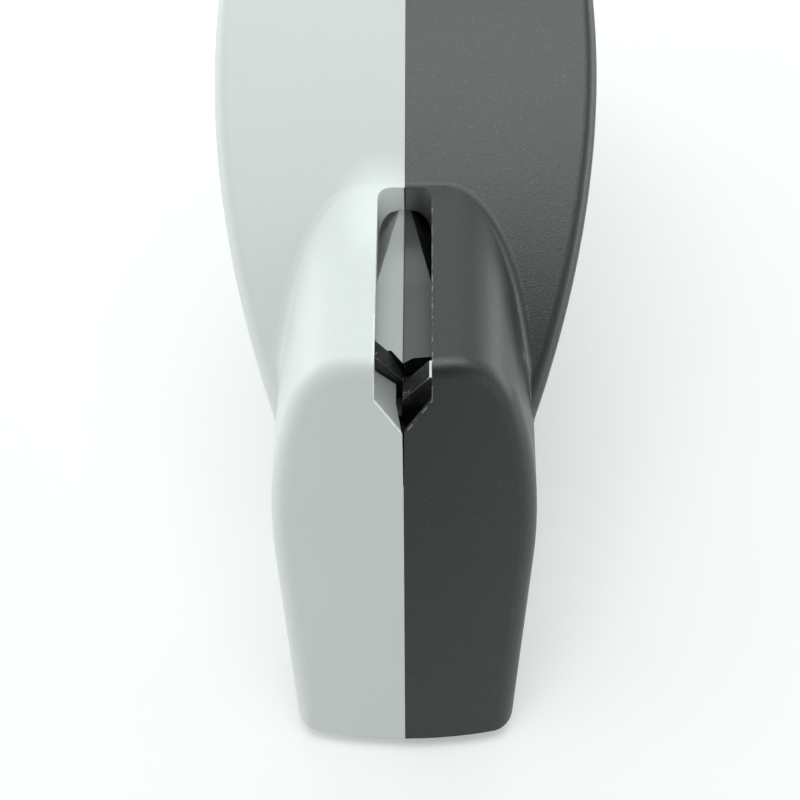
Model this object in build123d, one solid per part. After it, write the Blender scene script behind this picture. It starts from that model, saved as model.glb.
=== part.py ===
from build123d import *
import math
import os

# A hand-size manual knife sharpener. Two moulded half shells meet on the middle plane X = 0.
# The nose with its slot is at the front (-Y), the leaf-shaped palm rest rises behind it (+Y).
# The origin is on the table, under the middle of the outline. The light half is at -X.

# Overall form
BODY_LENGTH = 120.0
NOSE_TOP_Z = 40.5
FOOT_PROUD = 1.0
WALL = 2.2

# Nose: a section across the sharpener, run straight along Y
FACE_LEAN = 31.0
FACE_BOW_RADIUS = 60.0
NOSE_HALF_WIDTH = 14.5
NOSE_WIDEST_DROP = 18.0
SHOULDER_RADIUS = 8.0
FLANK_RADIUS = 36.0
FLANK_DRAFT = 6.7
FACE_EDGE_RADIUS = 2.4
BASE_BEVEL = 0.6

# Leaf: the plan of the palm rest, drawn in towards the table by its draft
LEAF_HALF_WIDTH = 22.85
LEAF_WIDEST_BACK = 36.0
LEAF_TAIL_RADIUS = 9.3
LEAF_DRAFT = 8.0
HULL_LEAD_IN = 7.0
BLEND_RADIUS = 1.6

# Side view of the palm rest: one long arc that meets the nose top, then the crest
REST_MEETS_BACK = 25.5
REST_START_SLOPE = 24.0
REST_RADIUS = 220.0
REST_RUN = 22.5
REST_LEAD_IN = 70.0
CREST_RADIUS = 40.0
STERN_RADIUS = 28.0

# Knife slot, with its depths below the nose top and its stations back from the front lip
SLOT_WIDTH = 6.0
SLOT_LENGTH = 25.1
SLOT_DEPTH = 3.2
SLOT_CORNER = 1.5
NOTCH_DEPTH = 3.3
DARK_FLOOR_EDGE = [(0.0, 3.05), (1.05, 3.75), (3.0, 3.9)]
LIGHT_FLOOR_EDGE = [(0.0, 2.95), (-1.3, 4.7), (-3.0, 4.7)]
FLOOR_UNDERCUT = 3.0
CROSSING_GAP = 0.8
NOTCH_WEB = 0.45
SEAM_GAP_TOP = 0.3
SEAM_GAP_END = 0.08
SEAM_GAP_LENGTH = 6.0
SEAM_GAP_DEPTH = 6.0

# Spine: the slot floor narrows backwards between two sloping gutters that end under an arch in the rear wall
SPINE_START = 14.0
SPINE_WIDTH = 1.3
SPINE_DROP = 3.7
GUTTER_DROP = 7.7
ARCH_LENGTH = 2.5

# Carbide plates, one behind the other, crossed in a V
PLATE_WIDTH = 6.0
PLATE_THICKNESS = 2.2
PLATE_PITCH = 2.4
PLATE_ANGLE = 55.0
PLATE_DROP = 1.1
PLATE_START = -0.1
DARK_PLATE_FACET = 0.25
DARK_PLATE_REACH = 0.1
LIGHT_PLATE_REACH = 1.2

# Plate carrier and clamp
CARRIER_HALF_WIDTH = 9.5
CARRIER_TOP_DROP = 8.3
CARRIER_BOTTOM_DROP = 18.0
CARRIER_BACK_WALL = 2.0
CLAMP_THICKNESS = 1.5
CLAMP_TOP_DROP = 9.5
CLAMP_SCREW_RADIUS = 1.25
CLAMP_SCREW_LENGTH = 6.0
CLAMP_SCREW_X = 7.6
CLAMP_SCREW_DROP = 13.8
CLAMP_HEAD_RADIUS = 2.2
CLAMP_HEAD_HEIGHT = 1.4
SHELF_THICKNESS = 2.0

# Shell screws, as stations back from the lip and drops below the nose top
SCREW_PLACES = [(-3.0, 31.0), (20.0, 22.0), (52.0, 2.0), (72.0, 28.0)]
SCREW_RADIUS = 1.5
SCREW_LENGTH = 16.0
SCREW_HEAD_RADIUS = 2.8
SCREW_HEAD_HEIGHT = 2.2
SCREW_SEAT_X = 7.0
BOSS_WALL = 1.8

# Locating pins of the light half, placed like the screws
PIN_PLACES = [(12.0, 33.0), (62.0, 14.0)]
PIN_RADIUS = 1.5
PIN_LENGTH = 4.0

# Stiffening ribs across both halves
RIB_STATIONS = [36.0, 66.0]
RIB_THICKNESS = 1.6
RIB_HEIGHT = 3.5

# Rubber feet: centre station, length along Y, width
FRONT_FOOT = (-12.0, 9.0, 17.0)
REAR_FOOT = (56.0, 16.0, 18.0)
FOOT_RECESS = 1.2
FOOT_CORNER = 3.0

# Clearances
FIT = 0.1
PLATE_FIT = 0.2
SCREW_FIT = 0.2
HEAD_FIT = 0.3
SOCKET_FIT = 0.1

BASE_Z = FOOT_PROUD
LIP_Y = -BODY_LENGTH / 2 + (NOSE_TOP_Z - BASE_Z) * math.tan(math.radians(FACE_LEAN))
TAIL_Y = BODY_LENGTH / 2
BIG = 4 * BODY_LENGTH
LIGHT, DARK = -1, 1
PLATE_BACK = {DARK: PLATE_START, LIGHT: PLATE_START + PLATE_PITCH}
PLATE_REACH = {DARK: DARK_PLATE_REACH, LIGHT: LIGHT_PLATE_REACH}
PLATE_FACET = {DARK: DARK_PLATE_FACET, LIGHT: 0.0}
FLOOR_EDGE = {DARK: DARK_FLOOR_EDGE, LIGHT: LIGHT_FLOOR_EDGE}
SLOT_FLOOR_DROP = SLOT_DEPTH + WALL
LIP_UNDER_DROP = CARRIER_TOP_DROP - FIT


def rest_arcs():
    """Centres of the palm rest's long arc and crest arc in the Y Z plane, and the slope where they join."""
    slope = math.radians(REST_START_SLOPE)
    long_y = LIP_Y + REST_MEETS_BACK + REST_RADIUS * math.sin(slope)
    long_z = NOSE_TOP_Z - REST_RADIUS * math.cos(slope)
    join = math.asin(math.sin(slope) - REST_RUN / REST_RADIUS)
    step = REST_RADIUS - CREST_RADIUS
    crest_y = long_y - step * math.sin(join)
    crest_z = long_z + step * math.cos(join)
    return (long_y, long_z), (crest_y, crest_z), join


def arc_point(centre, radius, slope):
    """Point of an arc that is convex upwards, where its tangent climbs at the slope."""
    return centre[0] - radius * math.sin(slope), centre[1] + radius * math.cos(slope)


def crest_height():
    """Height of the palm rest's highest point."""
    return rest_arcs()[1][1] + CREST_RADIUS


def rest_profile(inset):
    """Everything under the palm rest's top and above its rounded stern, from a side view."""
    long_arc, crest, join = rest_arcs()
    long_radius = REST_RADIUS - inset
    crest_radius = CREST_RADIUS - inset
    first = math.radians(REST_START_SLOPE) + REST_LEAD_IN / REST_RADIUS
    start = arc_point(long_arc, long_radius, first)
    middle = arc_point(long_arc, long_radius, (first + join) / 2)
    joint = arc_point(long_arc, long_radius, join)
    top = arc_point(crest, crest_radius, (join - math.pi / 2) / 2)
    end = arc_point(crest, crest_radius, -math.pi / 2)
    floor = BASE_Z + inset
    stern = STERN_RADIUS - inset
    stern_y, stern_z = TAIL_Y - STERN_RADIUS, BASE_Z + STERN_RADIUS
    low = (stern_y, floor)
    turn = (stern_y + stern * math.sin(math.pi / 4), stern_z - stern * math.cos(math.pi / 4))
    back = (stern_y + stern, stern_z)
    path = Wire([
        ThreePointArc(start, middle, joint).edge(),
        ThreePointArc(joint, top, end).edge(),
        Line(end, (end[0], back[1])).edge(),
        Line((end[0], back[1]), back).edge(),
        ThreePointArc(back, turn, low).edge(),
        Line(low, (start[0], floor)).edge(),
        Line((start[0], floor), start).edge(),
    ])
    return extrude(Plane.YZ * Face(path), BIG / 4, both=True)


def leaf_arcs():
    """Leaf plan: Y of its widest point, radius of its side arcs, Y of its tail's centre, lean there."""
    widest_y = LIP_Y + LEAF_WIDEST_BACK
    reach = TAIL_Y - widest_y
    spread = LEAF_HALF_WIDTH - LEAF_TAIL_RADIUS
    radius = (LEAF_HALF_WIDTH**2 + reach**2 - 2 * LEAF_TAIL_RADIUS * reach) / (2 * spread)
    tail_y = TAIL_Y - LEAF_TAIL_RADIUS
    lean = math.atan2(tail_y - widest_y, radius - LEAF_HALF_WIDTH)
    return widest_y, radius, tail_y, lean


def drawn_in(z):
    """How far the hull's flank is drawn in at a height."""
    return (crest_height() - z) * math.tan(math.radians(LEAF_DRAFT))


def flank(x, y, radius, inset):
    """Upright cone about an axis: its radius is reached at the crest and drawn in towards the table."""
    top_z = crest_height() + WALL
    low = radius - drawn_in(BASE_Z) - inset
    high = radius - drawn_in(top_z) - inset
    return Pos(x, y, BASE_Z) * Cone(low, high, top_z - BASE_Z, align=(Align.CENTER, Align.CENTER, Align.MIN))


def tail_sector(tail_y, lean):
    """Everything behind the two rays from the tail's centre on which side arcs and tail meet."""
    ray = (BIG * math.cos(lean), tail_y + BIG * math.sin(lean))
    outline = make_face(Polyline((0, tail_y), ray, (0, tail_y + 2 * BIG), (-ray[0], ray[1]), close=True))
    return extrude(outline, BIG / 4, both=True)


def hull(inset):
    """Leaf-shaped rear body under the palm rest, drawn in towards the table."""
    widest_y, radius, tail_y, lean = leaf_arcs()
    offset = radius - LEAF_HALF_WIDTH
    behind = tail_sector(tail_y, lean)
    lens = flank(-offset, widest_y, radius, inset) & flank(offset, widest_y, radius, inset)
    lens &= Pos(0, LIP_Y - HULL_LEAD_IN + BIG / 2, 0) * Box(BIG, BIG, BIG)
    tail = flank(0, tail_y, LEAF_TAIL_RADIUS, inset)
    return ((lens - behind) + (tail & behind)) & rest_profile(inset)


def nose_section(inset):
    """Cross-section of the nose: flat top, shoulder arc, long flank arc, then the drafted flank."""
    draft = math.radians(FLANK_DRAFT)
    flank_x = NOSE_HALF_WIDTH - FLANK_RADIUS
    flank_z = NOSE_TOP_Z - NOSE_WIDEST_DROP
    between = FLANK_RADIUS - SHOULDER_RADIUS
    rise = NOSE_WIDEST_DROP - SHOULDER_RADIUS
    tilt = math.asin(rise / between)
    shoulder_x = flank_x + between * math.cos(tilt)
    shoulder_z = NOSE_TOP_Z - SHOULDER_RADIUS
    shoulder = SHOULDER_RADIUS - inset
    flank = FLANK_RADIUS - inset
    half = (tilt + math.pi / 2) / 2
    mid = (tilt - draft) / 2
    turn = (shoulder_x, shoulder_z + shoulder)
    shoulder_mid = (shoulder_x + shoulder * math.cos(half), shoulder_z + shoulder * math.sin(half))
    shoulder_end = (shoulder_x + shoulder * math.cos(tilt), shoulder_z + shoulder * math.sin(tilt))
    flank_mid = (flank_x + flank * math.cos(mid), flank_z + flank * math.sin(mid))
    flank_end = (flank_x + flank * math.cos(draft), flank_z - flank * math.sin(draft))
    floor = BASE_Z + inset
    foot = (flank_end[0] - (flank_end[1] - floor) * math.tan(draft), floor)
    side = [
        ThreePointArc(turn, shoulder_mid, shoulder_end).edge(),
        ThreePointArc(shoulder_end, flank_mid, flank_end).edge(),
        Line(flank_end, foot).edge(),
    ]
    other = [edge.mirror(Plane.YZ) for edge in side]
    top = Line((-turn[0], turn[1]), turn).edge()
    bottom = Line((-foot[0], foot[1]), foot).edge()
    return Face(Wire([top, bottom] + side + other))


def face_frame():
    """Plane of the leaning front face: origin on the lip edge, Z out of the face, Y up along it."""
    lean = math.radians(FACE_LEAN)
    return Plane(
        origin=(0, LIP_Y, NOSE_TOP_Z),
        x_dir=(1, 0, 0),
        z_dir=(0, -math.cos(lean), math.sin(lean)),
    )


def behind_face(inset):
    """Everything behind the front face, which bows forward along its middle."""
    radius = FACE_BOW_RADIUS - inset
    bow = Cylinder(radius, BIG, rotation=(90, 0, 0))
    return face_frame() * Pos(0, 0, -FACE_BOW_RADIUS) * bow


def nose(inset):
    """Nose block from the front face back into the hull."""
    back_y = LIP_Y + REST_MEETS_BACK + SHOULDER_RADIUS
    front_y = -BODY_LENGTH / 2 - WALL
    section = Plane((0, back_y, 0), x_dir=(1, 0, 0), z_dir=(0, -1, 0)) * nose_section(inset)
    block = extrude(section, back_y - front_y, dir=(0, -1, 0))
    return block & behind_face(inset)


def rounded_nose():
    """Nose with the rounded edge of its front face."""
    block = nose(0)
    face = block.faces().sort_by(Axis.Y)[0]
    return fillet([edge for edge in face.edges() if edge.center().Z > BASE_Z + FIT], FACE_EDGE_RADIUS)


def is_blended(edge):
    """Whether an edge lies where nose and hull meet, or round the leaf-shaped rim of the palm rest."""
    at = edge.center()
    back = at.Y - LIP_Y
    beside = abs(at.X)
    meets = 2 < back < REST_MEETS_BACK + 2 and BASE_Z + BLEND_RADIUS < at.Z < NOSE_TOP_Z + FIT
    valley = edge.geom_type != GeomType.LINE and NOSE_HALF_WIDTH / 2 < beside < NOSE_HALF_WIDTH + FIT
    over_top = beside < FIT and back > SLOT_LENGTH
    high = at.Z > BASE_Z + NOSE_TOP_Z / 2
    leaf_side = back > 8 and edge.length > 10 and beside > NOSE_HALF_WIDTH
    leaf_tail = at.Y > TAIL_Y - 6
    return meets and (valley or over_top) or high and (leaf_side or leaf_tail)


def is_base_edge(edge):
    """Whether an edge runs round the base or up the stern."""
    at = edge.center()
    on_base = at.Z < BASE_Z + FIT
    on_stern = at.Y > TAIL_Y - STERN_RADIUS - FIT and at.Z < BASE_Z + STERN_RADIUS / 2 + FIT
    return on_base or on_stern


def outer_form():
    """Outside of the closed casing: hull and nose in one, with soft valleys and a bevelled base."""
    form = hull(0) + rounded_nose()
    form = fillet([edge for edge in form.edges() if is_blended(edge)], BLEND_RADIUS)
    return chamfer([edge for edge in form.edges() if is_base_edge(edge)], BASE_BEVEL)


def block(x_from, x_to, back_from, back_to, drop_top, drop_bottom):
    """Box between two X values, two stations back from the lip and two drops below the nose top."""
    size = (x_to - x_from, back_to - back_from, drop_bottom - drop_top)
    y = LIP_Y + (back_from + back_to) / 2
    z = NOSE_TOP_Z - (drop_top + drop_bottom) / 2
    return Pos((x_from + x_to) / 2, y, z) * Box(*size)


def rod(place, radius, x_from, x_to):
    """Cylinder across the sharpener at a screw or pin place."""
    back, drop = place
    middle = ((x_from + x_to) / 2, LIP_Y + back, NOSE_TOP_Z - drop)
    return Pos(*middle) * Cylinder(radius, abs(x_to - x_from), rotation=(0, 90, 0))


def half_space(side):
    """Everything on one side of the middle plane."""
    return Pos(side * BIG / 2, 0, 0) * Box(BIG, BIG, BIG)


def column(points, drop_top, drop_bottom):
    """Upright prism over a plan outline of X values and stations back from the lip."""
    outline = make_face(Polyline(*[(x, LIP_Y + back) for x, back in points], close=True))
    return Pos(0, 0, NOSE_TOP_Z - drop_bottom) * extrude(outline, drop_bottom - drop_top, dir=(0, 0, 1))


def plate(side, fit=0.0):
    """Carbide plate of one half: its working edge falls from the slot wall to a cut end near the middle."""
    angle = math.radians(PLATE_ANGLE)
    along = (math.cos(angle), -math.sin(angle))
    out = (-math.sin(angle), -math.cos(angle))
    start = (-SLOT_WIDTH / 2, NOSE_TOP_Z - PLATE_DROP)
    corners = []
    for run, depth in ((-fit, -fit), (BODY_LENGTH, -fit), (BODY_LENGTH, PLATE_WIDTH + fit),
                       (-fit, PLATE_WIDTH + fit)):
        x = start[0] + run * along[0] + depth * out[0]
        z = start[1] + run * along[1] + depth * out[1]
        corners.append((-side * x, z))
    outline = make_face(Polyline(*corners, close=True))
    back = PLATE_BACK[side] - fit
    section = Plane((0, LIP_Y + back, 0), x_dir=(1, 0, 0), z_dir=(0, -1, 0)) * outline
    body = extrude(section, PLATE_THICKNESS + 2 * fit, dir=(0, 1, 0))
    top = PLATE_DROP + PLATE_FACET[side] * math.tan(angle) - fit
    xs = sorted((-side * (PLATE_REACH[side] + fit), side * BIG))
    return body & block(*xs, -BODY_LENGTH, BODY_LENGTH, top, BODY_LENGTH)


def carrier_end():
    """Station of the carrier's rear face."""
    return PLATE_BACK[LIGHT] + PLATE_THICKNESS + CARRIER_BACK_WALL


def carrier():
    """Block under the slot that holds both plates in crossed pockets, drilled for the clamp screws."""
    width = CARRIER_HALF_WIDTH
    body = block(-width, width, PLATE_START, carrier_end(), CARRIER_TOP_DROP, CARRIER_BOTTOM_DROP)
    body -= plate(LIGHT, FIT) + plate(DARK, FIT)
    for x in (-CLAMP_SCREW_X, CLAMP_SCREW_X):
        body -= clamp_rod(x, CLAMP_SCREW_RADIUS + FIT, PLATE_START, PLATE_START + CLAMP_SCREW_LENGTH)
    return body


def clamp_rod(x, radius, back_from, back_to):
    """Cylinder along the sharpener at a clamp screw."""
    middle = (x, LIP_Y + (back_from + back_to) / 2, NOSE_TOP_Z - CLAMP_SCREW_DROP)
    return Pos(*middle) * Cylinder(radius, back_to - back_from, rotation=(90, 0, 0))


def clamp():
    """Steel plate on the front of the carrier, over the front carbide plate."""
    width = CARRIER_HALF_WIDTH
    front = PLATE_START - CLAMP_THICKNESS
    body = block(-width, width, front, PLATE_START, CLAMP_TOP_DROP, CARRIER_BOTTOM_DROP)
    upright = body.edges().filter_by(Axis.Y)
    body = fillet(upright, CLAMP_SCREW_RADIUS)
    for x in (-CLAMP_SCREW_X, CLAMP_SCREW_X):
        body -= clamp_rod(x, CLAMP_SCREW_RADIUS + SCREW_FIT, front - 1, PLATE_START + 1)
    return body


def clamp_screws():
    """Two small screws through the clamp into the carrier."""
    front = PLATE_START - CLAMP_THICKNESS
    screws = []
    for x in (-CLAMP_SCREW_X, CLAMP_SCREW_X):
        head = clamp_rod(x, CLAMP_HEAD_RADIUS, front - CLAMP_HEAD_HEIGHT, front)
        shank = clamp_rod(x, CLAMP_SCREW_RADIUS, front, PLATE_START + CLAMP_SCREW_LENGTH - FIT)
        screws.append(head + shank)
    return Compound(screws)


def shell_screws():
    """Screws that hold the halves together, put in from the dark side."""
    screws = []
    for place in SCREW_PLACES:
        head = rod(place, SCREW_HEAD_RADIUS, SCREW_SEAT_X, SCREW_SEAT_X + SCREW_HEAD_HEIGHT)
        shank = rod(place, SCREW_RADIUS, SCREW_SEAT_X - SCREW_LENGTH, SCREW_SEAT_X)
        screws.append(head + shank)
    return Compound(screws)


def foot(where, grow=0.0):
    """Rubber foot, or with grow the recess that it sits in."""
    station, length, width = where
    outline = RectangleRounded(width + 2 * grow, length + 2 * grow, FOOT_CORNER + grow)
    return Pos(0, LIP_Y + station, 0) * extrude(outline, BASE_Z + FOOT_RECESS)


def rest_height(y):
    """Height of the palm rest on the middle plane."""
    long_arc, crest, join = rest_arcs()
    if y < arc_point(crest, CREST_RADIUS, join)[0]:
        return long_arc[1] + math.sqrt(REST_RADIUS**2 - (y - long_arc[0]) ** 2)
    return crest[1] + math.sqrt(CREST_RADIUS**2 - (y - crest[0]) ** 2)


def leaf_half_width(y, z):
    """Half width of the hull beside its middle plane, ahead of the round tail."""
    widest_y, radius, tail_y, lean = leaf_arcs()
    return math.sqrt((radius - drawn_in(z)) ** 2 - (y - widest_y) ** 2) - radius + LEAF_HALF_WIDTH


def rib(station):
    """Stiffening rib: a slab across the cavity, open in its middle."""
    y = LIP_Y + station
    depth = WALL + RIB_HEIGHT
    low = BASE_Z + depth
    high = rest_height(y) - depth
    low_x = leaf_half_width(y, low) - depth
    high_x = leaf_half_width(y, high) - depth
    opening = make_face(Polyline((-low_x, low), (low_x, low), (high_x, high), (-high_x, high), close=True))
    section = Plane((0, y - RIB_THICKNESS, 0), x_dir=(1, 0, 0), z_dir=(0, -1, 0)) * opening
    slab = Pos(0, y, 0) * Box(BIG, RIB_THICKNESS, BIG)
    return slab - extrude(section, 2 * RIB_THICKNESS, dir=(0, 1, 0))


def carrier_seat(side):
    """Shelf under the carrier and stop behind it, moulded in one half."""
    inner = CARRIER_HALF_WIDTH / 2
    under = CARRIER_BOTTOM_DROP + FIT
    stop = carrier_end() + FIT
    xs = sorted((side * inner, side * BIG))
    shelf = block(*xs, PLATE_START, stop + RIB_THICKNESS, under, under + SHELF_THICKNESS)
    wall = block(*xs, stop, stop + RIB_THICKNESS, SLOT_FLOOR_DROP, under + SHELF_THICKNESS)
    return shelf + wall


def channel(side):
    """Solid moulding round the slot and its gutters, with the lip under its notch."""
    xs = sorted((0, side * (SLOT_WIDTH / 2 + WALL)))
    end = SLOT_LENGTH + ARCH_LENGTH + WALL
    trough = block(*xs, -BODY_LENGTH, end, -BODY_LENGTH, SLOT_FLOOR_DROP)
    keel = block(*xs, SPINE_START - WALL, end, SLOT_FLOOR_DROP - 1, GUTTER_DROP + WALL)
    lip = block(*xs, -BODY_LENGTH, PLATE_BACK[side] - PLATE_FIT, SLOT_FLOOR_DROP - 1, LIP_UNDER_DROP)
    return trough + keel + lip


def bosses(side):
    """Screw and pin bosses of one half."""
    out = side * BIG
    kept = []
    for place in SCREW_PLACES:
        if side == DARK:
            kept.append(rod(place, SCREW_HEAD_RADIUS + HEAD_FIT + BOSS_WALL, SCREW_SEAT_X - BOSS_WALL, out))
            kept.append(rod(place, SCREW_RADIUS + SCREW_FIT + BOSS_WALL, 0, SCREW_SEAT_X))
        else:
            kept.append(rod(place, SCREW_RADIUS + FIT + BOSS_WALL, 0, out))
    for place in PIN_PLACES:
        kept.append(rod(place, PIN_RADIUS + SOCKET_FIT + BOSS_WALL, 0, out))
    return kept


def slot_plan(drop_bottom):
    """Everything over the plan of the knife slot, with its rounded rear corners, down to a drop."""
    half = SLOT_WIDTH / 2
    body = block(-half, half, -BODY_LENGTH, SLOT_LENGTH, -BODY_LENGTH, drop_bottom)
    rear = body.edges().filter_by(Axis.Z).group_by(Axis.Y)[-1]
    return fillet(rear, SLOT_CORNER)


def slot_cut():
    """Knife slot: a level floor that falls gently towards its rear."""
    level = NOSE_TOP_Z - SLOT_DEPTH
    low = NOSE_TOP_Z - SPINE_DROP
    start, end = LIP_Y + SPINE_START, LIP_Y + SLOT_LENGTH
    far, over = end + BODY_LENGTH, NOSE_TOP_Z + BODY_LENGTH
    floor = [(-BODY_LENGTH, level), (start, level), (end, low), (far, low)]
    outline = make_face(Polyline(*floor, (far, over), (-BODY_LENGTH, over), close=True))
    return slot_plan(SPINE_DROP) & extrude(Plane.YZ * outline, SLOT_WIDTH, both=True)


def gutter_cut(side):
    """Recess between the narrowing spine and one wall, which ends under the arch in the rear wall."""
    half = SLOT_WIDTH / 2
    arch_drop = SPINE_DROP + half
    arch = Cylinder(half, 2 * ARCH_LENGTH, rotation=(90, 0, 0))
    arch = Pos(0, LIP_Y + SLOT_LENGTH, NOSE_TOP_Z - arch_drop) * arch
    near, far = SLOT_LENGTH - ARCH_LENGTH, SLOT_LENGTH + ARCH_LENGTH
    under = block(-half, half, near, far, arch_drop, GUTTER_DROP)
    room = (slot_plan(GUTTER_DROP) + arch + under) & half_space(side)
    room &= block(-half, half, SPINE_START, BODY_LENGTH, SLOT_DEPTH, GUTTER_DROP)
    corner = Vector(side * half, LIP_Y + SPINE_START, NOSE_TOP_Z - SLOT_DEPTH)
    ridge = Vector(side * SPINE_WIDTH / 2, LIP_Y + SLOT_LENGTH, NOSE_TOP_Z - SPINE_DROP)
    foot_point = Vector(side * half, LIP_Y + SLOT_LENGTH, NOSE_TOP_Z - GUTTER_DROP)
    along = ridge - corner
    slope = Plane(corner, x_dir=along, z_dir=along.cross(foot_point - corner) * -side)
    return split(room, bisect_by=slope, keep=Keep.TOP)


def wedge(half_width, depth, back_from, back_to, drop):
    """V groove that runs along the sharpener."""
    z = NOSE_TOP_Z - drop
    outline = make_face(Polyline((-half_width, z), (half_width, z), (0, z - depth), close=True))
    section = Plane((0, LIP_Y + back_from, 0), x_dir=(1, 0, 0), z_dir=(0, -1, 0)) * outline
    return extrude(section, back_to - back_from, dir=(0, 1, 0))


def well_cut(side):
    """Opening under the slot in which the plates stand, up to the front edge of the floor."""
    half = SLOT_WIDTH / 2
    front = PLATE_BACK[side] - PLATE_FIT
    edge = FLOOR_EDGE[side]
    opening = column([(0, front), (side * half, front)] + edge[::-1], 0, CARRIER_TOP_DROP)
    if side == DARK:
        hollow = block(0, half, -BODY_LENGTH, front + FIT, SLOT_DEPTH, CARRIER_TOP_DROP)
        return opening + (hollow & behind_face(NOTCH_WEB))
    start, tip = PLATE_BACK[DARK] - PLATE_FIT, NOTCH_DEPTH + SLOT_DEPTH
    reach = -tip * math.tan(math.radians(FACE_LEAN))
    end = edge[0][1]
    gap = [(0, reach), (-SEAM_GAP_TOP / 2, reach), (-CROSSING_GAP, start), (-CROSSING_GAP, end), (0, end)]
    behind = opening & block(-half, 0, front, BODY_LENGTH, SLOT_DEPTH, SLOT_FLOOR_DROP - FIT)
    return opening + column(gap, SLOT_DEPTH, CARRIER_TOP_DROP) + undercut(behind)


def undercut(opening):
    """The same opening swept backwards as it goes down, so that the floor over it ends in a thin edge."""
    top = opening.faces().sort_by(Axis.Z)[-1]
    return extrude(top, FLOOR_UNDERCUT, dir=(0, 1, -1.4))


def seam_gap():
    """Fine gap between the halves under the notch, which closes downwards along the face."""
    tip = (SLOT_DEPTH + NOTCH_DEPTH) / math.cos(math.radians(FACE_LEAN))
    top = tip - SEAM_GAP_DEPTH
    bottom = tip + SEAM_GAP_LENGTH
    half_top, half_end = SEAM_GAP_TOP / 2, SEAM_GAP_END / 2
    outline = make_face(
        Polyline((-half_top, -top), (half_top, -top), (half_end, -bottom), (-half_end, -bottom), close=True)
    )
    return extrude(face_frame() * outline, SEAM_GAP_DEPTH, both=True)


def cuts(side):
    """Everything cut from one half of the casing."""
    half = SLOT_WIDTH / 2
    gone = [slot_cut(), gutter_cut(side), well_cut(side), seam_gap()]
    gone += [plate(LIGHT, PLATE_FIT), plate(DARK, PLATE_FIT)]
    gone.append(wedge(half, NOTCH_DEPTH, -BODY_LENGTH, PLATE_BACK[LIGHT], SLOT_DEPTH))
    gone += [foot(FRONT_FOOT, FIT), foot(REAR_FOOT, FIT)]
    for place in SCREW_PLACES:
        if side == DARK:
            gone.append(rod(place, SCREW_RADIUS + SCREW_FIT, 0, SCREW_SEAT_X))
            gone.append(rod(place, SCREW_HEAD_RADIUS + HEAD_FIT, SCREW_SEAT_X, BIG))
        else:
            gone.append(rod(place, SCREW_RADIUS + FIT, SCREW_SEAT_X - SCREW_LENGTH - FIT, 0))
    if side == DARK:
        for place in PIN_PLACES:
            gone.append(rod(place, PIN_RADIUS + SOCKET_FIT, 0, PIN_LENGTH + FIT))
    return gone


def casing_half(side, outside, cavity):
    """One moulded half: its outside, hollowed round its inner mouldings, without crumbs left by the cuts."""
    keep = [channel(side), carrier_seat(side)] + bosses(side) + [rib(station) for station in RIB_STATIONS]
    hollow = cavity & half_space(side)
    for feature in keep:
        hollow -= feature
    body = outside - hollow
    for gone in cuts(side):
        body -= gone
    if side == LIGHT:
        for place in PIN_PLACES:
            body += rod(place, PIN_RADIUS, -1, PIN_LENGTH)
    return body.solids().sort_by(SortBy.VOLUME)[-1]


def main():
    os.makedirs("parts", exist_ok=True)
    dark_outside = outer_form() & half_space(DARK)
    light_outside = mirror(dark_outside, about=Plane.YZ)
    cavity = hull(WALL) + nose(WALL)
    pieces = {
        "light_shell": casing_half(LIGHT, light_outside, cavity),
        "dark_shell": casing_half(DARK, dark_outside, cavity),
        "light_side_plate": plate(LIGHT),
        "dark_side_plate": plate(DARK),
        "plate_carrier": carrier(),
        "plate_clamp": clamp(),
        "clamp_screws": clamp_screws(),
        "shell_screws": shell_screws(),
        "front_foot": foot(FRONT_FOOT),
        "rear_foot": foot(REAR_FOOT),
    }
    centre = Pos(0, -dark_outside.bounding_box().center().Y, 0)
    for name, piece in pieces.items():
        export_step(centre * piece, f"parts/{name}.step")


main()
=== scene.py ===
import math

import bpy
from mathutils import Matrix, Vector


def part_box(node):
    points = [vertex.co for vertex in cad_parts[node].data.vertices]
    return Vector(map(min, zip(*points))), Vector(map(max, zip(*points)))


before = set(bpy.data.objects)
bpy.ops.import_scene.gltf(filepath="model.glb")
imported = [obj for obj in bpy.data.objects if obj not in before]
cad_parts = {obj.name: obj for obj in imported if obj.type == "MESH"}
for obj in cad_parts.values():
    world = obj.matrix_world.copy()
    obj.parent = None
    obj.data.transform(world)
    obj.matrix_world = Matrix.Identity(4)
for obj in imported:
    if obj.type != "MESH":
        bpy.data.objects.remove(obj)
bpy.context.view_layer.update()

# Slot in the nose, in metres; its lip is read from the frame, depths are below the nose's top
LIP_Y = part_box("dark_side_plate")[0].y + 0.0001
NOSE_TOP = 0.0405
SLOT_HALF = 0.003
SLOT_FLOOR = 0.0032
SLOT_LENGTH = 0.0251
SLOT_BOTTOM = 0.009
REAR_CORNER = 0.0016
NOTCH_TIP = 0.0065
FACE_SLOPE = math.tan(math.radians(31))

# Cross drive of the screws in the dark half: axes as (y, z), in metres
SCREW_AXES = [(-0.03811, 0.0095), (-0.01511, 0.0185), (0.01689, 0.0385), (0.03689, 0.0125)]
SCREW_FACE_X = 0.0091
DRIVE_REACH = 0.0016
DRIVE_HALF_WIDTH = 0.00045
DRIVE_TAPER = 0.10

# Camera: lens and sensor in millimetres, elevation in degrees, shift as a share, the rest in metres
LENS = 78.1
SENSOR = 36
VIEW_ELEVATION = 54.5
VIEW_DISTANCE = 0.1766
VIEW_BEHIND_LIP = -0.004
VIEW_SHIFT = -0.003
VIEW_SIDE = 0.0027

# White tent: its levels, how steeply they fall with height, and its colours
TENT = {"base": 0.29, "front": 0.24, "side": 4.3, "back": 1.5, "gap": 0.8}
TENT_FALL = 1.8
TENT_COLOUR = (0.93, 1.0, 0.99, 1)
BACKDROP_COLOUR = (0.975, 0.98, 0.98, 1)

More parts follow.
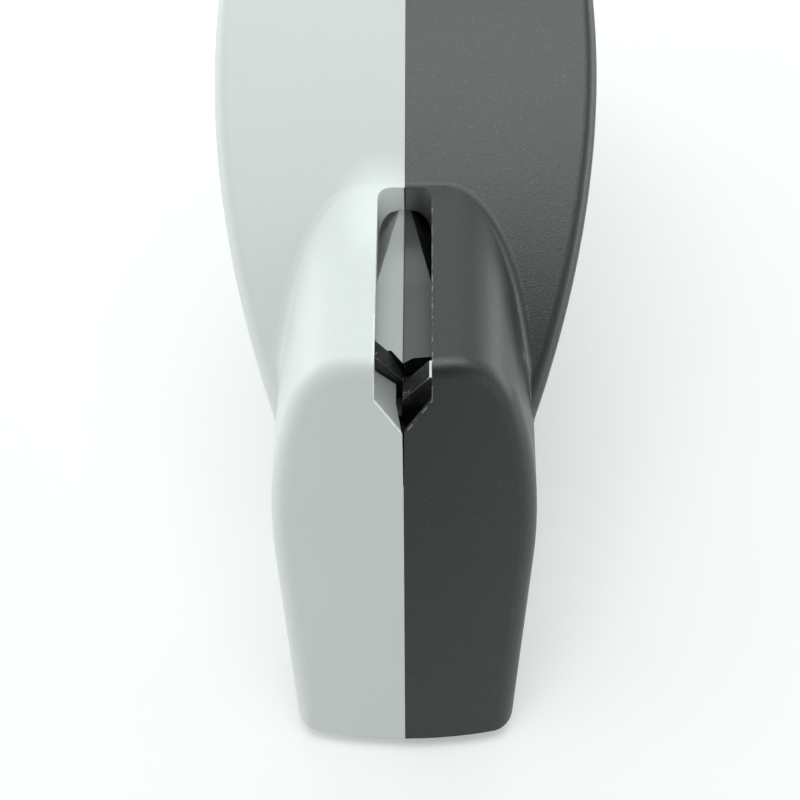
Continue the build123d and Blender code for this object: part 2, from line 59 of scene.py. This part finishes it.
# Dim patch round the camera and the gaps of light beside it: angles in degrees, edges as cosines
VIEWER_EDGE = (0.70, 0.92)
GAP_EDGE = (0.94, 0.985)
GAP_ELEVATION = 25
GAP_TURN = 38

# Soft boxes as name, place, width, depth and power, then the narrow lamp on the slot's rear wall
LAMP_COLOUR = (0.92, 1.0, 0.985)
LAMP_AIM = (0, 0, 0.04)
BOXES = [
    ("top_box", (0, 0.08, 0.90), 0.9, 0.6, 4.9),
    ("back_box", (0, 0.90, 0.45), 0.7, 0.3, 3.2),
]
SPOT_AIM = (-0.0024, LIP_Y + SLOT_LENGTH, NOSE_TOP - 0.0022)
SPOT_ELEVATION = 38
SPOT_DISTANCE = 0.30
SPOT_ANGLE = 0.018
SPOT_RADIUS = 0.004
SPOT_POWER = 4.7

# Floor: its paper, and how its share of plain white grows between two distances, in metres
FLOOR_HALF = 3.0
PAPER_COLOUR = (0.94, 0.92, 0.92, 1)
PLAIN_STRENGTH = 1.03
NEAR = 0.12
FAR = 0.6
NEAR_SHARE = 0.35

# Plastic: a random swing of its tone, painted shade on the slot's floor and seam, painted light on the
# glints and the slot's rear wall, added gloss, and relief and soft edges in metres
CLOUD_SHADE = 0.97
PAINTED_FLOOR_SHADE = 0.59
PAINTED_SEAM_SHADE = 0.04
PAINTED_GLINT_LIFT = 0.006
PAINTED_REAR_WALL_LIGHT = 0.12
FLOOR_GLOSS = 0.65
GLINT_GLOSS = 0.20
SLOT_SMOOTHING = 0.8
SKIN_DEPTH = 0.00002
EDGE_RADIUS = 0.00012


def set_camera():
    """Camera in front of the nose, looking along +Y and down on the slot."""
    data = bpy.data.cameras.new("camera")
    data.lens = LENS
    data.sensor_width = SENSOR
    data.shift_x = VIEW_SHIFT
    data.clip_start = 0.01
    data.clip_end = 20
    camera = bpy.data.objects.new("camera", data)
    tilt = math.radians(VIEW_ELEVATION)
    y = LIP_Y + VIEW_BEHIND_LIP - VIEW_DISTANCE * math.cos(tilt)
    z = NOSE_TOP + VIEW_DISTANCE * math.sin(tilt)
    camera.location = (VIEW_SIDE, y, z)
    camera.rotation_mode = "YXZ"
    camera.rotation_euler = (math.pi / 2 - tilt, VIEW_SIDE / VIEW_DISTANCE, 0)
    bpy.context.scene.collection.objects.link(camera)
    bpy.context.scene.camera = camera


def add_box(name, place, width, depth, power):
    """Soft box at a place, turned towards the part."""
    data = bpy.data.lights.new(name, "AREA")
    data.shape = "RECTANGLE"
    data.size = width
    data.size_y = depth
    data.energy = power
    data.color = LAMP_COLOUR
    lamp = bpy.data.objects.new(name, data)
    lamp.location = place
    back = lamp.location - type(lamp.location)(LAMP_AIM)
    lamp.rotation_euler = back.to_track_quat("Z", "Y").to_euler()
    bpy.context.scene.collection.objects.link(lamp)


def add_slot_spot():
    """Narrow lamp in front of the nose, turned down on the slot's rear wall."""
    data = bpy.data.lights.new("slot_spot", "SPOT")
    data.spot_size = SPOT_ANGLE
    data.spot_blend = 1.0
    data.shadow_soft_size = SPOT_RADIUS
    data.energy = SPOT_POWER
    data.color = LAMP_COLOUR
    lamp = bpy.data.objects.new("slot_spot", data)
    x, y, z = SPOT_AIM
    rise = math.radians(SPOT_ELEVATION)
    lamp.location = (x, y - SPOT_DISTANCE * math.cos(rise), z + SPOT_DISTANCE * math.sin(rise))
    lamp.rotation_euler = (math.pi / 2 - rise, 0, 0)
    bpy.context.scene.collection.objects.link(lamp)


def set_world(base, front, side, back, gap):
    """White tent: bright low down at the sides and back, dim round the camera, with light gaps beside it."""
    world = bpy.data.worlds.new("studio")
    bpy.context.scene.world = world
    world.use_nodes = True
    tree = world.node_tree
    nodes, links = tree.nodes, tree.links
    nodes.clear()
    way = nodes.new("ShaderNodeTexCoord").outputs["Generated"]
    x, y, z = split(tree, way)
    fall = math_node(tree, "POWER", math_node(tree, "SUBTRACT", 1.0, z), TENT_FALL)
    across = math_node(tree, "MULTIPLY", x, x)
    across = math_node(tree, "MULTIPLY", across, ramp_node(tree, y, -0.6, 0.2))
    rear = math_node(tree, "MAXIMUM", y, 0.0)
    rear = math_node(tree, "MULTIPLY", rear, rear)
    glow = math_node(tree, "MULTIPLY_ADD", across, side - front, front)
    glow = math_node(tree, "MULTIPLY_ADD", rear, back - front, glow)
    level = math_node(tree, "MULTIPLY_ADD", glow, fall, base)
    tilt = math.radians(VIEW_ELEVATION)
    camera_way = (0, -math.cos(tilt), math.sin(tilt))
    viewer = vector_node(tree, "DOT_PRODUCT", way, camera_way).outputs["Value"]
    rise, turn = math.radians(GAP_ELEVATION), math.radians(GAP_TURN)
    ahead = (0, -math.cos(rise) * math.cos(turn), math.sin(rise))
    beside = vector_node(tree, "DOT_PRODUCT", way, ahead).outputs["Value"]
    sideways = math_node(tree, "ABSOLUTE", x)
    beside = math_node(tree, "MULTIPLY_ADD", sideways, math.cos(rise) * math.sin(turn), beside)
    spill = ramp_node(tree, beside, *GAP_EDGE, 0.0, gap)
    shade = ramp_node(tree, viewer, *VIEWER_EDGE, 1.0, 0.05)
    strength = math_node(tree, "MULTIPLY_ADD", level, shade, spill)
    out = nodes.new("ShaderNodeOutputWorld")
    mix = nodes.new("ShaderNodeMixShader")
    path = nodes.new("ShaderNodeLightPath")
    seen = nodes.new("ShaderNodeBackground")
    seen.inputs["Color"].default_value = BACKDROP_COLOUR
    fill = nodes.new("ShaderNodeBackground")
    fill.inputs["Color"].default_value = TENT_COLOUR
    links.new(strength, fill.inputs["Strength"])
    links.new(path.outputs["Is Camera Ray"], mix.inputs["Fac"])
    links.new(fill.outputs[0], mix.inputs[1])
    links.new(seen.outputs[0], mix.inputs[2])
    links.new(mix.outputs[0], out.inputs["Surface"])


def set_floor():
    """Wide pale floor that keeps a faint shadow near the part and is plain white farther off."""
    mesh = bpy.data.meshes.new("floor")
    corners = [(x * FLOOR_HALF, y * FLOOR_HALF, 0) for x, y in ((-1, -1), (1, -1), (1, 1), (-1, 1))]
    mesh.from_pydata(corners, [], [(0, 1, 2, 3)])
    floor = bpy.data.objects.new("floor", mesh)
    bpy.context.scene.collection.objects.link(floor)
    material = bpy.data.materials.new("floor")
    material.use_nodes = True
    tree = material.node_tree
    nodes, links = tree.nodes, tree.links
    nodes.clear()
    out = nodes.new("ShaderNodeOutputMaterial")
    mix = nodes.new("ShaderNodeMixShader")
    path = nodes.new("ShaderNodeLightPath")
    place = nodes.new("ShaderNodeTexCoord").outputs["Object"]
    away = vector_node(tree, "LENGTH", place).outputs["Value"]
    plain = ramp_node(tree, away, NEAR, FAR, NEAR_SHARE, 1.0)
    share = math_node(tree, "MULTIPLY", path.outputs["Is Camera Ray"], plain)
    paper = nodes.new("ShaderNodeBsdfDiffuse")
    paper.inputs["Color"].default_value = PAPER_COLOUR
    glow = nodes.new("ShaderNodeEmission")
    glow.inputs["Color"].default_value = (1.0, 1.0, 1.0, 1)
    glow.inputs["Strength"].default_value = PLAIN_STRENGTH
    links.new(share, mix.inputs["Fac"])
    links.new(paper.outputs[0], mix.inputs[1])
    links.new(glow.outputs[0], mix.inputs[2])
    links.new(mix.outputs[0], out.inputs["Surface"])
    mesh.materials.append(material)


def new_group(name, inputs, outputs):
    """Empty shader group with named float and vector sockets."""
    group = bpy.data.node_groups.new(name, "ShaderNodeTree")
    kinds = {"f": "NodeSocketFloat", "v": "NodeSocketVector"}
    for label, kind, value in inputs:
        socket = group.interface.new_socket(label, in_out="INPUT", socket_type=kinds[kind])
        if value is not None:
            socket.default_value = value
    for label, kind in outputs:
        group.interface.new_socket(label, in_out="OUTPUT", socket_type=kinds[kind])
    return group, group.nodes.new("NodeGroupInput"), group.nodes.new("NodeGroupOutput")


def math_node(tree, operation, first, second=0.0, third=None):
    """Math node whose inputs are sockets or numbers; gives its output."""
    node = tree.nodes.new("ShaderNodeMath")
    node.operation = operation
    for slot, value in enumerate((first, second, third)):
        if value is None:
            continue
        if isinstance(value, (int, float)):
            node.inputs[slot].default_value = value
        else:
            tree.links.new(value, node.inputs[slot])
    return node.outputs[0]


def vector_node(tree, operation, first, second=(0, 0, 0)):
    """Vector maths node whose inputs are sockets or vectors."""
    node = tree.nodes.new("ShaderNodeVectorMath")
    node.operation = operation
    for slot, value in enumerate((first, second)):
        if isinstance(value, tuple):
            node.inputs[slot].default_value = value
        else:
            tree.links.new(value, node.inputs[slot])
    return node


def split(tree, vector):
    """X, Y and Z of a vector socket."""
    node = tree.nodes.new("ShaderNodeSeparateXYZ")
    tree.links.new(vector, node.inputs[0])
    return node.outputs["X"], node.outputs["Y"], node.outputs["Z"]


def noise_node(tree, place, scale, detail=2.0, roughness=0.5):
    """Noise on the object's own coordinates; gives its value from 0 to 1."""
    node = tree.nodes.new("ShaderNodeTexNoise")
    node.inputs["Scale"].default_value = scale
    node.inputs["Detail"].default_value = detail
    node.inputs["Roughness"].default_value = roughness
    tree.links.new(place, node.inputs["Vector"])
    return node.outputs["Fac"]


def ramp_node(tree, value, low, high, to_low=0.0, to_high=1.0):
    """Smooth step of a value between two levels."""
    node = tree.nodes.new("ShaderNodeMapRange")
    node.interpolation_type = "SMOOTHSTEP"
    node.inputs["From Min"].default_value = low
    node.inputs["From Max"].default_value = high
    node.inputs["To Min"].default_value = to_low
    node.inputs["To Max"].default_value = to_high
    tree.links.new(value, node.inputs["Value"])
    return node.outputs["Result"]


def make_mould_grain():
    """Spark-eroded mould texture: a fine pebbled height, glints on its peaks and a broad uneven tone."""
    group, source, sink = new_group(
        "mould_grain",
        [("Vector", "v", None), ("Grain", "f", 5200.0), ("Tone", "f", 0.03)],
        [("Height", "f"), ("Glint", "f"), ("Shade", "f")],
    )
    place = source.outputs["Vector"]
    fine = group.nodes.new("ShaderNodeTexNoise")
    group.links.new(place, fine.inputs["Vector"])
    group.links.new(source.outputs["Grain"], fine.inputs["Scale"])
    fine.inputs["Detail"].default_value = 2.0
    coarse = noise_node(group, place, 1400.0, 2.0)
    height = math_node(group, "MULTIPLY_ADD", coarse, 0.5, fine.outputs["Fac"])
    speck = noise_node(group, place, 4300.0, 1.0)
    glint = ramp_node(group, speck, 0.62, 0.74)
    cloud = noise_node(group, place, 90.0, 3.0)
    swing = math_node(group, "SUBTRACT", cloud, 0.5)
    shade = math_node(group, "MULTIPLY_ADD", swing, source.outputs["Tone"], 1.0)
    group.links.new(height, sink.inputs["Height"])
    group.links.new(glint, sink.inputs["Glint"])
    group.links.new(shade, sink.inputs["Shade"])
    return group


def make_segment_distance():
    """Distance from a point to a straight segment."""
    group, source, sink = new_group(
        "segment_distance",
        [("Vector", "v", None), ("Start", "v", None), ("End", "v", None)],
        [("Distance", "f")],
    )
    point, start, end = (source.outputs[label] for label in ("Vector", "Start", "End"))
    along = vector_node(group, "SUBTRACT", end, start).outputs["Vector"]
    off = vector_node(group, "SUBTRACT", point, start).outputs["Vector"]
    shared = vector_node(group, "DOT_PRODUCT", off, along).outputs["Value"]
    whole = vector_node(group, "DOT_PRODUCT", along, along).outputs["Value"]
    part = math_node(group, "DIVIDE", shared, whole)
    part.node.use_clamp = True
    foot = vector_node(group, "SCALE", along)
    group.links.new(part, foot.inputs["Scale"])
    rest = vector_node(group, "SUBTRACT", off, foot.outputs["Vector"]).outputs["Vector"]
    group.links.new(vector_node(group, "LENGTH", rest).outputs["Value"], sink.inputs["Distance"])
    return group


def make_edge_highlight_and_rub():
    """Mask of a painted highlight with rub along the slot's front outline and a length of its top edges,
    broken where Break is high.
    """
    group, source, sink = new_group(
        "edge_highlight_and_rub",
        [("Vector", "v", None), ("Reach", "f", 0.00012), ("Length", "f", 0.008), ("Break", "f", 0.0)],
        [("Mask", "f")],
    )
    x, y, z = split(group, source.outputs["Vector"])
    mirrored = group.nodes.new("ShaderNodeCombineXYZ")
    group.links.new(math_node(group, "ABSOLUTE", x), mirrored.inputs["X"])
    group.links.new(y, mirrored.inputs["Y"])
    group.links.new(z, mirrored.inputs["Z"])
    lip = (SLOT_HALF, LIP_Y + 0.00006, NOSE_TOP)
    corner = (SLOT_HALF, LIP_Y - SLOT_FLOOR * FACE_SLOPE + 0.00006, NOSE_TOP - SLOT_FLOOR)
    tip = (0, LIP_Y - NOTCH_TIP * FACE_SLOPE, NOSE_TOP - NOTCH_TIP)
    rear = math_node(group, "ADD", source.outputs["Length"], lip[1])
    far = group.nodes.new("ShaderNodeCombineXYZ")
    far.inputs["X"].default_value = SLOT_HALF
    far.inputs["Z"].default_value = NOSE_TOP
    group.links.new(rear, far.inputs["Y"])
    nearest = None
    for start, end in ((far.outputs[0], lip), (lip, corner), (corner, tip)):
        node = group.nodes.new("ShaderNodeGroup")
        node.node_tree = SEGMENT
        group.links.new(mirrored.outputs[0], node.inputs["Vector"])
        for label, value in (("Start", start), ("End", end)):
            if isinstance(value, tuple):
                node.inputs[label].default_value = value
            else:
                group.links.new(value, node.inputs[label])
        away = node.outputs["Distance"]
        nearest = away if nearest is None else math_node(group, "MINIMUM", nearest, away)
    ragged = noise_node(group, source.outputs["Vector"], 3200.0, 3.0)
    reach = math_node(group, "MULTIPLY", ragged, source.outputs["Reach"])
    line = ramp_node(group, math_node(group, "DIVIDE", nearest, reach), 1.0, 2.2, 1.0, 0.0)
    chance = noise_node(group, source.outputs["Vector"], 1300.0, 2.0)
    kept = ramp_node(group, math_node(group, "SUBTRACT", chance, source.outputs["Break"]), 0.0, 0.03)
    group.links.new(math_node(group, "MULTIPLY", line, kept), sink.inputs["Mask"])
    return group


def make_parting_line():
    """Masks inside the slot: all of its skin, its floor, its rear wall and the line between the halves."""
    group, source, sink = new_group(
        "parting_line",
        [("Vector", "v", None), ("Width", "f", 0.0001)],
        [("Line", "f"), ("Inside", "f"), ("Floor", "f"), ("Rear", "f")],
    )
    x, y, z = split(group, source.outputs["Vector"])
    side = math_node(group, "ABSOLUTE", x)
    face = math_node(group, "MULTIPLY_ADD", z, FACE_SLOPE, LIP_Y - NOSE_TOP * FACE_SLOPE)
    inside = math_node(group, "LESS_THAN", side, SLOT_HALF + 0.00004)
    bounds = (
        math_node(group, "LESS_THAN", z, NOSE_TOP - 0.0001),
        math_node(group, "GREATER_THAN", z, NOSE_TOP - SLOT_BOTTOM),
        math_node(group, "GREATER_THAN", math_node(group, "SUBTRACT", y, face), 0.0003),
        math_node(group, "LESS_THAN", y, LIP_Y + SLOT_LENGTH + 0.0001),
    )
    for bound in bounds:
        inside = math_node(group, "MULTIPLY", inside, bound)
    group.links.new(inside, sink.inputs["Inside"])
    ratio = math_node(group, "DIVIDE", side, source.outputs["Width"])
    line = ramp_node(group, ratio, 0.7, 1.3, 1.0, 0.0)
    group.links.new(math_node(group, "MULTIPLY", line, inside), sink.inputs["Line"])
    normal = group.nodes.new("ShaderNodeNewGeometry").outputs["True Normal"]
    slant = math_node(group, "ABSOLUTE", split(group, normal)[2])
    upright = math_node(group, "LESS_THAN", slant, 0.4)
    # The slot's rear wall, which the plastic lifts with painted light
    last = math_node(group, "GREATER_THAN", y, LIP_Y + SLOT_LENGTH - REAR_CORNER)
    rear = math_node(group, "MULTIPLY", math_node(group, "MULTIPLY", last, upright), inside)
    group.links.new(rear, sink.inputs["Rear"])
    deep = math_node(group, "LESS_THAN", z, NOSE_TOP - SLOT_FLOOR + 0.0001)
    deep = math_node(group, "MULTIPLY", deep, inside)
    others = math_node(group, "SUBTRACT", 1.0, rear)
    group.links.new(math_node(group, "MULTIPLY", deep, others), sink.inputs["Floor"])
    return group


def make_ground_marks():
    """Grinding lines of a carbide plate with a few pits and grains of swarf."""
    group, source, sink = new_group(
        "ground_marks",
        [("Vector", "v", None)],
        [("Height", "f"), ("Speck", "f"), ("Shade", "f")],
    )
    stretch = group.nodes.new("ShaderNodeMapping")
    stretch.inputs["Scale"].default_value = (0.6, 14.0, 0.6)
    group.links.new(source.outputs["Vector"], stretch.inputs["Vector"])
    lines = noise_node(group, stretch.outputs[0], 900.0, 4.0, 0.7)
    pits = group.nodes.new("ShaderNodeTexVoronoi")
    pits.inputs["Scale"].default_value = 1900.0
    group.links.new(source.outputs["Vector"], pits.inputs["Vector"])
    small = ramp_node(group, pits.outputs["Distance"], 0.08, 0.20, 1.0, 0.0)
    chance = noise_node(group, source.outputs["Vector"], 700.0, 0.0)
    some = ramp_node(group, chance, 0.56, 0.62)
    speck = math_node(group, "MULTIPLY", small, some)
    cloud = noise_node(group, source.outputs["Vector"], 420.0, 3.0)
    group.links.new(lines, sink.inputs["Height"])
    group.links.new(speck, sink.inputs["Speck"])
    group.links.new(cloud, sink.inputs["Shade"])
    return group


def make_cross_drive():
    """Mask of the cross drive in the four heads that face the dark side."""
    group, source, sink = new_group("cross_drive", [("Vector", "v", None)], [("Mask", "f")])
    x, y, z = split(group, source.outputs["Vector"])
    total = None
    for screw_y, screw_z in SCREW_AXES:
        along = math_node(group, "ABSOLUTE", math_node(group, "SUBTRACT", y, screw_y))
        above = math_node(group, "ABSOLUTE", math_node(group, "SUBTRACT", z, screw_z))
        arm = math_node(group, "MINIMUM", along, above)
        reach = math_node(group, "MAXIMUM", along, above)
        width = math_node(group, "MULTIPLY_ADD", reach, -DRIVE_TAPER, DRIVE_HALF_WIDTH)
        past = math_node(group, "SUBTRACT", arm, width)
        narrow = ramp_node(group, past, -0.00004, 0.00004, 1.0, 0.0)
        short = ramp_node(group, reach, DRIVE_REACH - 0.00005, DRIVE_REACH + 0.00005, 1.0, 0.0)
        cross = math_node(group, "MULTIPLY", narrow, short)
        total = cross if total is None else math_node(group, "ADD", total, cross)
    outer = math_node(group, "GREATER_THAN", x, SCREW_FACE_X)
    group.links.new(math_node(group, "MULTIPLY", total, outer), sink.inputs["Mask"])
    return group


def start_material(name):
    """Node material with its Principled shader and the object's own coordinates."""
    material = bpy.data.materials.new(name)
    material.use_nodes = True
    tree = material.node_tree
    shader = tree.nodes["Principled BSDF"]
    place = tree.nodes.new("ShaderNodeTexCoord").outputs["Object"]
    return material, tree, shader, place


def place_group(tree, group, place, **values):
    """Group placed in a material with its own values."""
    node = tree.nodes.new("ShaderNodeGroup")
    node.node_tree = group
    tree.links.new(place, node.inputs["Vector"])
    for label, value in values.items():
        node.inputs[label].default_value = value
    return node


def mix_colour(tree, mask, low, high):
    """Colour between two, by a mask; each is a socket or a colour."""
    node = tree.nodes.new("ShaderNodeMix")
    node.data_type = "RGBA"
    tree.links.new(mask, node.inputs["Factor"])
    for label, value in (("A", low), ("B", high)):
        socket = next(s for s in node.inputs if s.name == label and s.type == "RGBA")
        if isinstance(value, tuple):
            socket.default_value = (*value, 1)
        else:
            tree.links.new(value, socket)
    return next(s for s in node.outputs if s.type == "RGBA")


def bump(tree, shader, height, strength, distance, edge_radius=None):
    """Relief from a height, over edges softened to a small radius."""
    node = tree.nodes.new("ShaderNodeBump")
    node.inputs["Strength"].default_value = strength
    node.inputs["Distance"].default_value = distance
    tree.links.new(height, node.inputs["Height"])
    if edge_radius:
        soft = tree.nodes.new("ShaderNodeBevel")
        soft.samples = 6
        soft.inputs["Radius"].default_value = edge_radius
        tree.links.new(soft.outputs[0], node.inputs["Normal"])
    tree.links.new(node.outputs[0], shader.inputs["Normal"])


def shaded(colour, factor, lift=0.0):
    """Colour scaled by a factor and lifted by a level."""
    return tuple(factor * c + lift for c in colour)


def make_plastic(
    name, colour, lit_and_rubbed, specular, roughness, glint_roughness, tone, relief, reach, broken, edge_mark_length
):
    """Moulded plastic: pebbled relief with painted glints, a smoother slot with painted shade on its floor
    and seam, painted light on its rear wall, and a painted highlight with rub along its edges.
    """
    material, tree, shader, place = start_material(name)
    grain = place_group(tree, GRAIN, place, Tone=tone)
    highlight_and_rub = place_group(tree, RUB_AND_HIGHLIGHT, place, Reach=reach, Length=edge_mark_length, Break=broken)
    parting = place_group(tree, PARTING, place)
    cloud = ramp_node(tree, grain.outputs["Shade"], 1 - tone, 1 + tone)
    skin = mix_colour(tree, cloud, shaded(colour, CLOUD_SHADE), colour)
    # Painted glints: the colour is lifted a little on the grain's specks
    skin = mix_colour(tree, grain.outputs["Glint"], skin, shaded(colour, 1, PAINTED_GLINT_LIFT))
    # Painted shade: the slot's floor is darkened where little light reaches it
    skin = mix_colour(tree, parting.outputs["Floor"], skin, shaded(colour, PAINTED_FLOOR_SHADE))
    # Painted light: the slot's rear wall is lifted brighter
    skin = mix_colour(tree, parting.outputs["Rear"], skin, shaded(colour, 1, PAINTED_REAR_WALL_LIGHT))
    # Painted highlight with rub along the slot's edges: the edge colour is lifted
    skin = mix_colour(tree, highlight_and_rub.outputs["Mask"], skin, lit_and_rubbed)
    # Painted shade: the line between the halves inside the slot is drawn near black
    skin = mix_colour(tree, parting.outputs["Line"], skin, shaded(colour, PAINTED_SEAM_SHADE))
    tree.links.new(skin, shader.inputs["Base Color"])
    matte = ramp_node(tree, grain.outputs["Glint"], 0, 1, roughness, glint_roughness)
    tree.links.new(matte, shader.inputs["Roughness"])
    gloss = math_node(tree, "MULTIPLY_ADD", parting.outputs["Floor"], FLOOR_GLOSS, specular)
    gloss = math_node(tree, "MULTIPLY_ADD", grain.outputs["Glint"], GLINT_GLOSS, gloss)
    tree.links.new(gloss, shader.inputs["Specular IOR Level"])
    rough = math_node(tree, "MULTIPLY_ADD", parting.outputs["Inside"], -SLOT_SMOOTHING, 1.0)
    height = math_node(tree, "MULTIPLY", grain.outputs["Height"], rough)
    bump(tree, shader, height, relief, SKIN_DEPTH, EDGE_RADIUS)
    return material


def make_carbide(low, high, speck, lit_worn_edge, polish):
    """Ground carbide between two tones, with bright grains, edges lightened by painted highlight and wear,
    and a polished top facet.
    """
    material, tree, shader, place = start_material("carbide")
    marks = place_group(tree, MARKS, place)
    shade = ramp_node(tree, marks.outputs["Shade"], 0.35, 0.65)
    colour = mix_colour(tree, marks.outputs["Speck"], mix_colour(tree, shade, low, high), speck)
    round_off = tree.nodes.new("ShaderNodeBevel")
    round_off.samples = 6
    round_off.inputs["Radius"].default_value = 0.00007
    flat = tree.nodes.new("ShaderNodeNewGeometry").outputs["True Normal"]
    straight = vector_node(tree, "DOT_PRODUCT", round_off.outputs[0], flat).outputs["Value"]
    ragged = noise_node(tree, place, 2600.0, 3.0)
    bend = math_node(tree, "MULTIPLY_ADD", ragged, 0.25, straight)
    # Painted highlight with wear: the colour is lightened where the rounded normal bends away
    worn_and_lit = ramp_node(tree, bend, 0.98, 1.06, 1.0, 0.0)
    colour = mix_colour(tree, worn_and_lit, colour, lit_worn_edge)
    facet = ramp_node(tree, split(tree, flat)[2], 0.93, 0.97)
    tree.links.new(mix_colour(tree, facet, colour, polish), shader.inputs["Base Color"])
    tree.links.new(math_node(tree, "MULTIPLY_ADD", facet, 0.6, 0.35), shader.inputs["Metallic"])
    rough = ramp_node(tree, marks.outputs["Height"], 0.3, 0.7, 0.34, 0.5)
    tree.links.new(rough, shader.inputs["Roughness"])
    bump(tree, shader, marks.outputs["Height"], 0.5, 0.00001, 0.00006)
    return material


def make_steel(name, low, high):
    """Screw and clamp steel, faintly clouded between two tones, with the heads' cross drive as a bump and
    painted shade.
    """
    material, tree, shader, place = start_material(name)
    cloud = noise_node(tree, place, 1600.0, 4.0)
    shade = ramp_node(tree, cloud, 0.3, 0.7)
    drive = place_group(tree, DRIVE, place).outputs["Mask"]
    plated = mix_colour(tree, shade, low, high)
    # Painted shade: the cross drive's recess is drawn near black on the heads
    tree.links.new(mix_colour(tree, drive, plated, shaded(low, 0.06)), shader.inputs["Base Color"])
    shader.inputs["Metallic"].default_value = 1.0
    tree.links.new(ramp_node(tree, cloud, 0.3, 0.7, 0.28, 0.42), shader.inputs["Roughness"])
    height = math_node(tree, "MULTIPLY_ADD", drive, -12.0, cloud)
    bump(tree, shader, height, 0.3, 0.00001, 0.0001)
    return material


def make_rubber(low, high):
    """Soft foot rubber: matte, between two tones, with a fine uneven skin."""
    material, tree, shader, place = start_material("rubber")
    grain = place_group(tree, GRAIN, place, Grain=3000.0)
    dust = noise_node(tree, place, 300.0, 4.0)
    dusty = mix_colour(tree, ramp_node(tree, dust, 0.45, 0.8), low, high)
    tree.links.new(dusty, shader.inputs["Base Color"])
    tree.links.new(ramp_node(tree, dust, 0.3, 0.7, 0.78, 0.9), shader.inputs["Roughness"])
    bump(tree, shader, grain.outputs["Height"], 0.5, 0.00004, 0.0002)
    return material


set_camera()
set_world(**TENT)
set_floor()
for box in BOXES:
    add_box(*box)
add_slot_spot()

GRAIN = make_mould_grain()
SEGMENT = make_segment_distance()
RUB_AND_HIGHLIGHT = make_edge_highlight_and_rub()
PARTING = make_parting_line()
MARKS = make_ground_marks()
DRIVE = make_cross_drive()

FINISHES = {
    "light_plastic": make_plastic(
        "light_plastic",
        colour=(0.680, 0.694, 0.687),
        lit_and_rubbed=(0.95, 0.96, 0.95),
        specular=0.5,
        roughness=0.45,
        glint_roughness=0.34,
        tone=0.04,
        relief=0.35,
        reach=0.00013,
        broken=0.0,
        edge_mark_length=0.007,
    ),
    "dark_plastic": make_plastic(
        "dark_plastic",
        colour=(0.0175, 0.0195, 0.019),
        lit_and_rubbed=(0.20, 0.21, 0.20),
        specular=0.72,
        roughness=0.36,
        glint_roughness=0.33,
        tone=0.12,
        relief=0.9,
        reach=0.00012,
        broken=0.47,
        edge_mark_length=0.022,
    ),
    "carrier_plastic": make_plastic(
        "carrier_plastic",
        colour=(0.020, 0.020, 0.021),
        lit_and_rubbed=(0.02, 0.02, 0.021),
        specular=0.5,
        roughness=0.55,
        glint_roughness=0.40,
        tone=0.05,
        relief=0.3,
        reach=0.0001,
        broken=1.0,
        edge_mark_length=0.022,
    ),
    "carbide": make_carbide(
        low=(0.030, 0.031, 0.031),
        high=(0.060, 0.060, 0.058),
        speck=(0.75, 0.74, 0.70),
        lit_worn_edge=(0.55, 0.54, 0.51),
        polish=(0.90, 0.89, 0.85),
    ),
    "steel": make_steel("steel", (0.30, 0.30, 0.31), (0.38, 0.38, 0.39)),
    "black_steel": make_steel("black_steel", (0.020, 0.020, 0.021), (0.035, 0.035, 0.036)),
    "rubber": make_rubber((0.022, 0.022, 0.023), (0.045, 0.045, 0.046)),
}

NODE_FINISH = {
    "light_shell": "light_plastic",
    "dark_shell": "dark_plastic",
    "light_side_plate": "carbide",
    "dark_side_plate": "carbide",
    "plate_carrier": "carrier_plastic",
    "plate_clamp": "black_steel",
    "clamp_screws": "black_steel",
    "shell_screws": "steel",
    "front_foot": "rubber",
    "rear_foot": "rubber",
}

for node_name, finish in NODE_FINISH.items():
    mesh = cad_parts[node_name].data
    mesh.materials.clear()
    mesh.materials.append(FINISHES[finish])

bpy.context.scene.view_settings.view_transform = "Standard"
